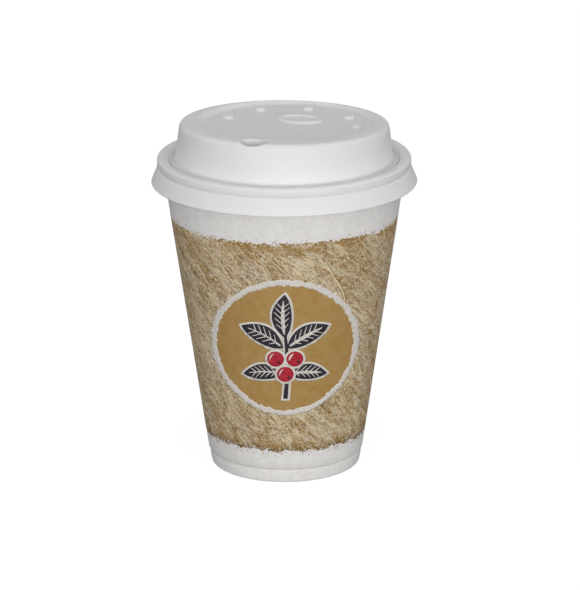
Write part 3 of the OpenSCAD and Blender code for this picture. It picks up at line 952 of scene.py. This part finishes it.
def flat_ink(name, colour, worn, scale):
    """One spot ink on foam: an even colour, thinner in small clouds, over the relief of the beads."""
    material, tree, place = new_material(name)
    normal = bead_relief(tree, place, 0.045)
    cloud = add_node(tree, "ShaderNodeTexNoise", {}, {"Vector": place, "Scale": 1 / scale, "Detail": 5.0,
                                                      "Roughness": 0.65})
    thin = add_node(tree, "ShaderNodeMapRange", {}, {"Value": cloud.outputs["Fac"], "From Min": 0.35,
                                                     "From Max": 0.75})
    shade = add_node(tree, "ShaderNodeMix", {"data_type": "RGBA"},
                     {0: thin.outputs[0], 6: linear(colour), 7: linear(worn)})
    finish_material(tree, shade.outputs[2], 0.55, normal, 1.5, {"Specular IOR Level": 0.25})
    return material


# Ochre, chalk, charcoal and cherry spot inks: matt, with the slightly patchy cover of ink on foam
def ochre_ink():
    return flat_ink("ochre_ink", "#B08A4E", "#BA9A63", 4.0)


def chalk_ink():
    return flat_ink("chalk_ink", "#EAE6DF", "#D3CBC1", 1.0)


def charcoal_ink():
    return flat_ink("charcoal_ink", "#2C2932", "#3D3A42", 2.5)


def cherry_ink():
    return flat_ink("cherry_ink", "#AE2033", "#BF3645", 2.5)


# The set


def backdrop_floor():
    """A pale floor that is white to the camera and keeps the object's soft shadow."""
    corners = [(x * FLOOR_REACH, y * FLOOR_REACH, 0) for x, y in ((-1, -1), (1, -1), (1, 1), (-1, 1))]
    floor = make_object("floor", corners, [(0, 1, 2, 3)], None, shade_smooth=False)
    material = bpy.data.materials.new("pale_floor")
    material.use_nodes = True
    tree = material.node_tree
    tree.nodes.clear()
    path = add_node(tree, "ShaderNodeLightPath", {}, {})
    seen = add_node(tree, "ShaderNodeMath", {"operation": "MAXIMUM"},
                    {0: path.outputs["Is Camera Ray"], 1: path.outputs["Is Transmission Ray"]})
    colour = add_node(tree, "ShaderNodeMix", {"data_type": "RGBA"},
                      {0: seen.outputs[0], 6: linear("#8C8C8C"), 7: linear("#A0A0A0")})
    paint = add_node(tree, "ShaderNodeBsdfDiffuse", {}, {"Color": colour.outputs[2]})
    white = add_node(tree, "ShaderNodeMath", {"operation": "MULTIPLY"}, {0: seen.outputs[0], 1: 0.82})
    glow = add_node(tree, "ShaderNodeEmission", {}, {"Color": (1, 1, 1, 1), "Strength": white.outputs[0]})
    both = add_node(tree, "ShaderNodeAddShader", {}, {0: paint.outputs[0], 1: glow.outputs[0]})
    add_node(tree, "ShaderNodeOutputMaterial", {}, {"Surface": both.outputs[0]})
    floor.data.materials.append(material)


def studio_world(level):
    """Soft light from all round, which the camera sees as white."""
    world = bpy.data.worlds.new("studio")
    bpy.context.scene.world = world
    world.use_nodes = True
    tree = world.node_tree
    tree.nodes.clear()
    path = add_node(tree, "ShaderNodeLightPath", {}, {})
    light = add_node(tree, "ShaderNodeMix", {"data_type": "FLOAT"},
                     {0: path.outputs["Is Camera Ray"], 2: level, 3: 1.0})
    sky = add_node(tree, "ShaderNodeBackground", {}, {"Color": (1, 1, 1, 1), "Strength": light.outputs[0]})
    add_node(tree, "ShaderNodeOutputWorld", {}, {"Surface": sky.outputs[0]})


def softbox(name, place, target, width, height, watts):
    """A rectangular area lamp; place, target and sizes in millimetres."""
    lamp = bpy.data.lights.new(name, "AREA")
    lamp.shape = "RECTANGLE"
    lamp.size = width * MM
    lamp.size_y = height * MM
    lamp.energy = watts
    obj = bpy.data.objects.new(name, lamp)
    obj.location = Vector(place) * MM
    obj.rotation_euler = (Vector(target) - Vector(place)).to_track_quat("-Z", "Y").to_euler()
    bpy.context.scene.collection.objects.link(obj)


def place_camera():
    """The photograph's viewpoint: low telephoto, with a slight roll."""
    camera = bpy.data.cameras.new("camera")
    camera.sensor_width = SENSOR
    camera.lens = FOCAL_PIXELS * SENSOR / PHOTO_HEIGHT
    place = Vector((0, -CAMERA_DISTANCE * math.cos(CAMERA_RISE),
                    CAMERA_DISTANCE * math.sin(CAMERA_RISE) + CAMERA_PIVOT_Z))
    forward = (Vector(CAMERA_AIM) - place).normalized()
    level = forward.cross(Vector((0, 0, 1))).normalized()
    upright = level.cross(forward)
    right = math.cos(CAMERA_ROLL) * level + math.sin(CAMERA_ROLL) * upright
    up = math.cos(CAMERA_ROLL) * upright - math.sin(CAMERA_ROLL) * level
    turn = Matrix((right, up, -forward)).transposed()
    obj = bpy.data.objects.new("camera", camera)
    obj.matrix_world = Matrix.Translation(place * MM) @ turn.to_4x4()
    bpy.context.scene.collection.objects.link(obj)
    bpy.context.scene.camera = obj


place_camera()
foam, ink = moulded_foam(), parchment_ink()
pale = chalk_ink()
flecks = fleck_tree()
pieces = [
    (make_cup(foam), "cup", "foam", "cup"),
    (make_lid(formed_sheet()), "lid", "lid_sheet", "lid"),
    (make_band(ink), "cup", "ink_band", "printed_band"),
    (make_panel(ochre_ink()), "cup", "ink_panel", "printed_panel"),
    (make_border(pale), "cup", "ink_pale", "printed_border"),
    (make_leaves(charcoal_ink()), "cup", "ink_dark", "printed_leaves"),
    (make_cherries(cherry_ink()), "cup", "ink_red", "printed_cherries"),
    (make_flecks(flecks, "band_flecks", ink, FLECK_SPREAD, LIFT_BAND, 5), "cup", "ink_band", None),
    (make_flecks(flecks, "bare_flecks", foam, -FLECK_SPREAD, LIFT_BARE, 25), "cup", "foam", None),
]
for piece, body, slot, node in pieces:
    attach(piece, body)
    if node:
        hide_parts(node)

backdrop_floor()
studio_world(level=0.55)
softbox("key", place=(120, -1300, 250), target=(0, 0, 60), width=1600, height=450, watts=9.55)
bpy.context.scene.view_settings.view_transform = "Standard"
